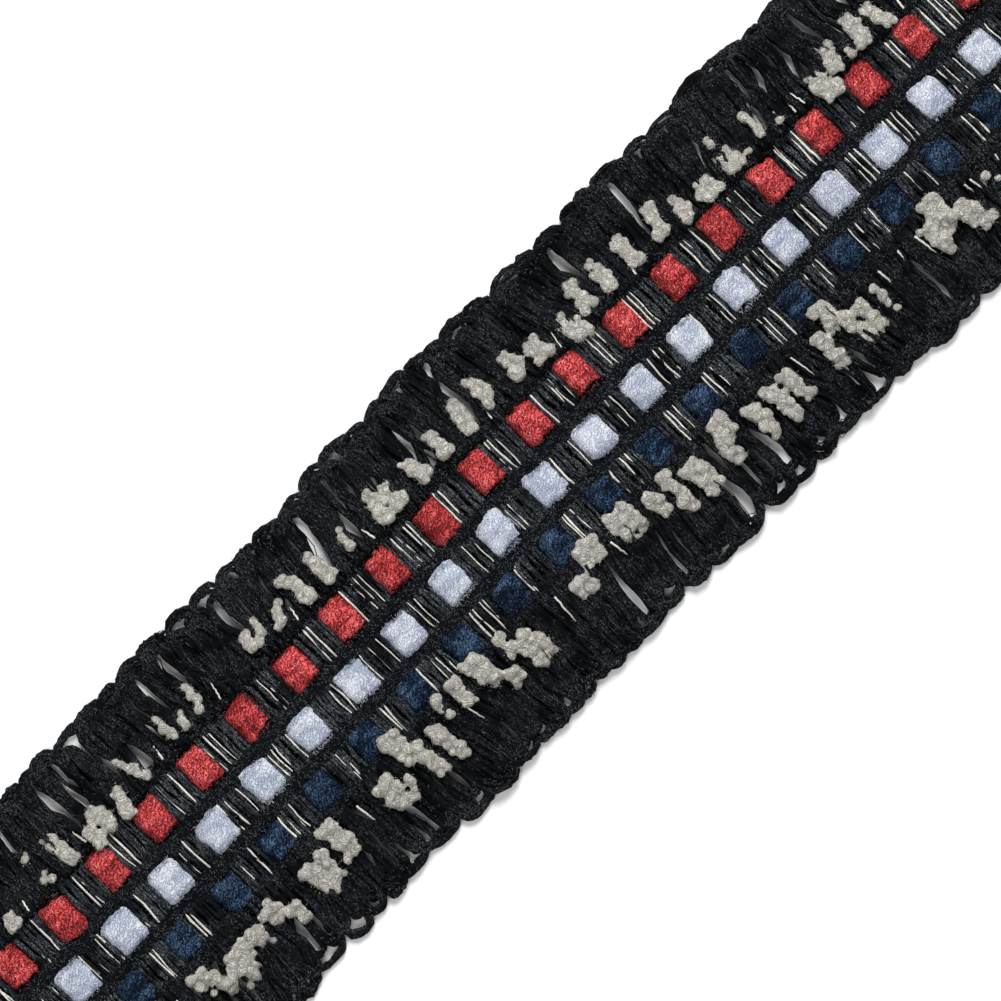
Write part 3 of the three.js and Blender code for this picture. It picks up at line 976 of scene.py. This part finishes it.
# Where the cream slubs lie, in millimetres: place along the band, nearest and farthest distance
# from its middle, width, and how far the tip lies along from the root.
SLUBS = {
    "red_side": [
        (-66.3, 8.4, 10.4, 2.1, 0.3), (-60.6, 8.8, 10.7, 1.0, -0.2), (-60.7, 12.2, 12.8, 1.0, 0.1),
        (-57.4, 8.8, 13.0, 1.6, -0.9), (-53.8, 7.6, 10.9, 2.0, 0.6), (-52.0, 8.4, 11.5, 1.7, -0.4),
        (-49.5, 7.5, 10.9, 2.3, 0.3), (-46.3, 9.3, 13.0, 1.4, -1.4), (-40.7, 9.7, 13.2, 1.4, -0.5),
        (-38.9, 9.5, 11.6, 1.2, 0.2), (-36.3, 9.7, 13.2, 1.3, 0.3), (-28.1, 9.9, 12.2, 1.8, -0.3),
        (-26.4, 10.5, 12.6, 1.3, 0.2), (-23.9, 9.7, 12.0, 1.6, 0.4), (-20.7, 9.2, 13.2, 2.0, -0.8),
        (-17.4, 9.3, 13.3, 1.6, -0.3), (-13.3, 10.0, 12.6, 1.3, 0.5), (-8.7, 9.1, 13.0, 1.8, 0.3),
        (-6.6, 9.1, 12.5, 1.7, -0.4), (-3.1, 9.2, 12.8, 2.2, -0.7), (0.6, 9.6, 12.9, 2.0, 0.2),
        (4.3, 9.3, 13.2, 1.8, 0.5), (7.7, 10.3, 13.8, 1.6, -0.5), (12.0, 9.6, 13.3, 1.9, 0.4),
        (15.0, 9.1, 12.1, 2.6, 0.3), (19.2, 7.9, 11.3, 2.6, -0.5), (21.9, 9.6, 13.3, 1.7, 0.3),
        (25.1, 9.3, 13.3, 2.3, -0.4), (28.9, 9.3, 13.3, 1.8, 0.2), (33.3, 9.6, 13.2, 2.0, 0.6),
        (36.0, 8.8, 12.0, 2.3, -0.3), (39.4, 8.6, 11.2, 2.4, 0.2), (43.2, 9.1, 11.6, 2.6, -0.3),
        (43.0, 12.5, 13.4, 1.2, 0.2), (47.6, 9.6, 12.9, 1.5, -0.4), (45.4, 9.1, 10.3, 0.9, 0.1),
        (49.7, 9.0, 10.7, 1.0, 0.3), (55.6, 6.9, 10.7, 2.8, -0.6), (58.3, 9.0, 12.0, 1.9, 0.5),
        (60.1, 8.8, 10.0, 1.1, 0.2), (62.2, 8.8, 12.9, 2.0, 0.2), (64.8, 8.4, 12.0, 2.1, -0.8),
        (71.5, 9.1, 12.5, 1.7, 0.4), (-72.5, 9.0, 12.1, 1.8, 0.2),
    ],
    "navy_side": [
        (-70.2, 8.4, 12.6, 1.9, 0.4), (-63.5, 8.8, 11.2, 1.6, -0.3), (-56.6, 8.4, 11.3, 2.6, 0.9),
        (-55.2, 11.2, 13.1, 1.8, 0.2), (-53.3, 9.6, 13.9, 1.7, 0.1), (-51.9, 9.3, 13.1, 1.8, -0.6),
        (-49.5, 9.3, 12.1, 2.1, 0.4), (-46.6, 8.9, 11.4, 2.4, 0.9), (-44.8, 10.8, 13.5, 1.7, 0.2),
        (-41.0, 9.1, 13.5, 2.2, 0.4), (-39.1, 8.9, 13.1, 1.8, -0.2), (-36.4, 7.6, 12.1, 2.8, 0.4),
        (-29.0, 8.8, 12.7, 2.4, 0.3), (-27.1, 10.0, 12.9, 1.4, -0.2), (-25.2, 5.9, 9.9, 2.6, 0.5),
        (-23.7, 8.9, 13.1, 2.2, 0.4), (-21.0, 8.7, 13.4, 1.6, 0.4), (-19.0, 6.7, 9.5, 1.5, 0.1),
        (-16.4, 6.8, 10.5, 1.8, -0.3), (-13.3, 6.6, 10.8, 2.6, 0.7), (-11.2, 10.5, 12.5, 1.9, 0.2),
        (-9.7, 7.0, 9.9, 2.2, 0.3), (-7.7, 8.8, 13.0, 3.3, 0.6), (0.6, 8.9, 11.3, 2.4, 0.3),
        (3.4, 6.7, 9.5, 3.2, -0.3), (8.4, 6.6, 10.5, 3.3, 0.7), (12.0, 7.9, 11.3, 2.2, 0.5),
        (14.6, 7.6, 13.0, 2.2, 0.2), (17.6, 8.8, 13.4, 2.4, 0.5), (21.6, 8.9, 12.9, 1.8, -0.3),
        (22.6, 7.4, 10.2, 2.9, 0.2), (26.1, 9.1, 13.6, 2.1, 0.4), (28.9, 9.2, 13.9, 1.7, 0.2),
        (31.2, 8.9, 13.4, 2.2, 0.7), (36.2, 8.9, 13.5, 2.2, 0.3), (38.5, 6.7, 10.3, 2.9, 0.2),
        (39.9, 9.2, 13.6, 2.1, 0.4), (41.8, 9.5, 13.9, 1.6, 0.2), (44.1, 9.5, 13.1, 1.2, 0.1),
        (52.4, 8.9, 13.1, 1.6, 0.9), (54.3, 6.9, 11.3, 2.4, -0.3), (56.9, 9.5, 13.8, 2.4, 1.6),
        (61.0, 9.3, 11.0, 1.1, 0.3), (66.4, 8.4, 12.8, 2.0, 0.4), (72.0, 8.4, 11.9, 1.8, -0.4),
    ],
}


# Where thin cream ends show at the roots of the fringe, in the same measures but without a width.
TAILS = {
    "red_side": [
        (-64.2, 8.8, 12.0, 0.4), (-55.2, 9.3, 12.3, -0.3), (-43.1, 9.3, 12.4, 0.2), (-22.7, 9.0, 11.6, 0.3),
        (-11.3, 9.1, 11.9, -0.4), (6.5, 9.0, 11.4, 0.2), (27.9, 8.8, 11.0, 0.3), (51.7, 9.0, 11.5, 0.2),
        (52.8, 9.0, 12.3, -0.3), (67.4, 8.8, 12.0, 0.3), (-34.2, 9.2, 12.8, 0.5), (17.0, 9.0, 12.2, 0.4),
    ],
    "navy_side": [
        (-32.5, 8.8, 12.9, 0.3), (-16.9, 10.3, 13.6, 0.4), (-2.6, 8.7, 14.4, -0.3), (33.0, 8.8, 13.9, 0.5),
        (45.7, 8.9, 12.4, 0.2), (48.5, 8.8, 11.6, -0.2), (51.1, 9.0, 13.7, 0.4), (58.5, 8.8, 11.0, 0.2),
        (59.4, 8.8, 12.1, 0.3), (62.8, 8.8, 11.4, -0.3), (-60.2, 8.9, 12.0, 0.4), (5.9, 8.9, 12.6, 0.3),
    ],
}


def tail_routes(rng, rows):
    """A thin cream yarn for each end, which sinks into the fringe."""
    routes = []
    for row in rows:
        at, near, far, lean = (value * MM for value in row)
        share = np.linspace(0, 1, 9)
        x = at + lean * (share - 0.5) + rng.normal(0, 0.03 * MM, 9)
        y = near + (far - near) * 0.6 * share
        z = (2.7 - 0.9 * share**2) * MM
        routes.append(np.stack([x, y, z, rng.uniform(0.6, 1.1) * (1 - 0.5 * share**3)], axis=1))
    return routes


def slub_balls(rng, row):
    """The centres and sizes of the soft balls that one slub is made of."""
    at, near, far, wide, lean = (value * MM for value in row)
    size = 0.63 * MM
    column_width, column_step = 0.70 * MM, 0.72 * MM
    step_length = 0.62 * MM
    run = max(far - near - 1.3 * size, 0.5 * MM)
    columns = max(1, round((wide - 0.55 * MM) / column_width))
    steps = max(1, round(run / step_length)) + 1
    balls = []
    for step in range(steps):
        share = step / (steps - 1)
        swing = rng.normal(0, 0.12 * MM)
        for column in range(columns):
            aside = (column - (columns - 1) / 2) * column_step + swing
            x = at + lean * (share - 0.5) + aside + rng.normal(0, 0.12 * MM)
            y = near + 0.75 * size + run * share + rng.normal(0, 0.14 * MM)
            radius = min(size * rng.uniform(0.8, 1.2), max(wide / 2, 0.45 * MM)) * (1 - 0.18 * share)
            z = 2.6 * MM - 0.75 * MM * share + rng.uniform(-0.08, 0.08) * MM
            if y < EDGE_RED + 0.3 * MM:
                z = max(z, BODY_TOP + 0.45 * radius)
            balls.append((x, y, z, radius))
    return balls


def turns_of(rng, count):
    """Random turns in space, as matrices."""
    first = unit(rng.normal(0, 1, (count, 3)))
    second = unit(np.cross(first, rng.normal(0, 1, (count, 3))))
    return np.stack([first, second, np.cross(first, second)], axis=2)


class TRIM_OT_slubs(bpy.types.Operator):
    """Makes the cream slubs of both edges"""

    bl_idname = "trim.slubs"
    bl_label = "Slubs"

    def execute(self, context):
        sizes, tints, rng = settings_of(context.scene, 3)
        material = slub_finish("slub_windings", tints.slub)
        for name, side in SIDES.items():
            balls = [ball for row in SLUBS[name] for ball in slub_balls(rng, row)]
            placed = on_side(balls, side["way"])
            obj = self.wound_balls(f"slub_balls_{name}", rng, placed)
            dressed(obj, material, "cream_yarn", f"slubs_{name}")
            hair = self.nap(f"slub_nap_{name}", rng, placed, SLUB_HAIRS)
            dressed(hair, material, "cream_yarn")
            routes = [on_side(route, side["way"]) for route in tail_routes(rng, TAILS[name])]
            ends = yarns(f"slub_tails_{name}", routes, sizes.cream, 0)
            dressed(ends, bpy.data.materials["cream_threads"], "cream_yarn", f"slubs_{name}")
        return {"FINISHED"}

    def wound_balls(self, name, rng, balls):
        """Soft balls grown into one another, with a lumpy skin."""
        ball = {"segments": 12, "ring_count": 11, "radius": 1}
        obj = started(name, bpy.ops.mesh.primitive_uv_sphere_add, **ball)
        shape = get_points(obj)
        count = len(balls)
        lumps = 1 + rng.normal(0, 0.05, (count, len(shape)))
        size = balls[:, 3][:, None, None] * lumps[:, :, None]
        local = np.einsum("nij,vj->nvi", turns_of(rng, count), shape) * size
        local[:, :, 2] *= 0.70
        copied(obj, local + balls[:, None, :3])
        modified(obj, "REMESH", mode="VOXEL", voxel_size=0.17 * MM)
        modified(obj, "SMOOTH", factor=0.5, iterations=1)
        roughen(obj, 1.0 * MM, -0.34 * MM, kind="VORONOI")
        roughen(obj, 0.26 * MM, 0.17 * MM)
        bpy.ops.object.shade_smooth()
        return obj

    def nap(self, name, rng, balls, count):
        """Short cream hairs that stand off the balls."""
        chosen = balls[rng.integers(0, len(balls), count)]
        out = unit(rng.normal(0, 1, (count, 3)) * np.array([1, 1, 0.6]))
        out[:, 2] = np.abs(out[:, 2])
        roots = chosen[:, :3] + out * chosen[:, 3:] * 0.9
        ways = out + rng.normal(0, 0.9, (count, 3))
        return hairs(name, rng, roots, ways, 0.38 * MM, 0.055 * MM, 0.9)


# Stage


class TRIM_OT_stage(bpy.types.Operator):
    """Makes the floor, the lights and the camera"""

    bl_idname = "trim.stage"
    bl_label = "Stage"

    def execute(self, context):
        scene = context.scene
        self.floor(scene.trim_colours.floor)
        self.sky(scene)
        self.light("window", (0.55, 0.62, 0.83), 0.6, 17.5)
        self.light("fill", (-0.6, -0.2, 1.0), 0.8, 5)
        self.camera(scene)
        scene.view_settings.view_transform = "Standard"
        return {"FINISHED"}

    def floor(self, base):
        floor = started("floor", bpy.ops.mesh.primitive_plane_add, size=3)
        finish = Finish("floor")
        grain = finish.noise(3 * MM)
        tone = finish.mix(grain, scaled(base, 0.995), base)
        normal = finish.relief(grain, 0.001 * MM)
        floor.data.materials.append(finish.shade(tone, normal, Roughness=0.9, Specular_IOR_Level=0.1))

    def sky(self, scene):
        world = bpy.data.worlds.new("studio")
        world.use_nodes = True
        backdrop = world.node_tree.nodes["Background"]
        backdrop.inputs["Color"].default_value = (1, 1, 1, 1)
        backdrop.inputs["Strength"].default_value = 0.30
        scene.world = world

    def light(self, name, place, size, watts):
        data = bpy.data.lights.new(name, "AREA")
        data.size = size
        data.energy = watts
        lamp = bpy.data.objects.new(name, data)
        bpy.context.collection.objects.link(lamp)
        lamp.location = place
        away = lamp.location.normalized()
        lamp.rotation_euler = away.to_track_quat("Z", "Y").to_euler()

    def camera(self, scene):
        """Straight above the band, with the photograph's frame of about 105 mm."""
        frame_width = 105.1 * MM
        middle_x, middle_y = 0.857 * MM, 2.85 * MM
        turn = 45.93
        distance = 1.2
        data = bpy.data.cameras.new("camera")
        data.sensor_width = 36
        data.lens = data.sensor_width * distance / frame_width
        data.clip_start = 0.05
        data.clip_end = 10
        camera = bpy.data.objects.new("camera", data)
        bpy.context.collection.objects.link(camera)
        camera.location = (middle_x, middle_y, distance)
        camera.rotation_euler = (0, 0, -math.radians(turn))
        scene.camera = camera


OPERATORS = (TRIM_OT_stage, TRIM_OT_ribbons, TRIM_OT_ground, TRIM_OT_fringe, TRIM_OT_slubs)


class TRIM_PT_panel(bpy.types.Panel):
    """The trim's pieces, sizes and colours"""

    bl_idname = "TRIM_PT_panel"
    bl_label = "Woven Band Trim"
    bl_space_type = "VIEW_3D"
    bl_region_type = "UI"
    bl_category = "Trim"

    def draw(self, context):
        column = self.layout.column()
        for operator in OPERATORS:
            column.operator(operator.bl_idname)
        for group in (context.scene.trim_sizes, context.scene.trim_colours):
            for name in group.__annotations__:
                column.prop(group, name)


CLASSES = (TrimSizes, TrimColours, *OPERATORS, TRIM_PT_panel)


def register():
    for item in CLASSES:
        bpy.utils.register_class(item)
    bpy.types.Scene.trim_sizes = bpy.props.PointerProperty(type=TrimSizes)
    bpy.types.Scene.trim_colours = bpy.props.PointerProperty(type=TrimColours)


def unregister():
    del bpy.types.Scene.trim_colours
    del bpy.types.Scene.trim_sizes
    for item in reversed(CLASSES):
        bpy.utils.unregister_class(item)


def main():
    register()
    bpy.ops.trim.stage()
    bpy.ops.trim.ribbons()
    bpy.ops.trim.ground()
    bpy.ops.trim.fringe()
    bpy.ops.trim.slubs()


if __name__ == "__main__":
    main()
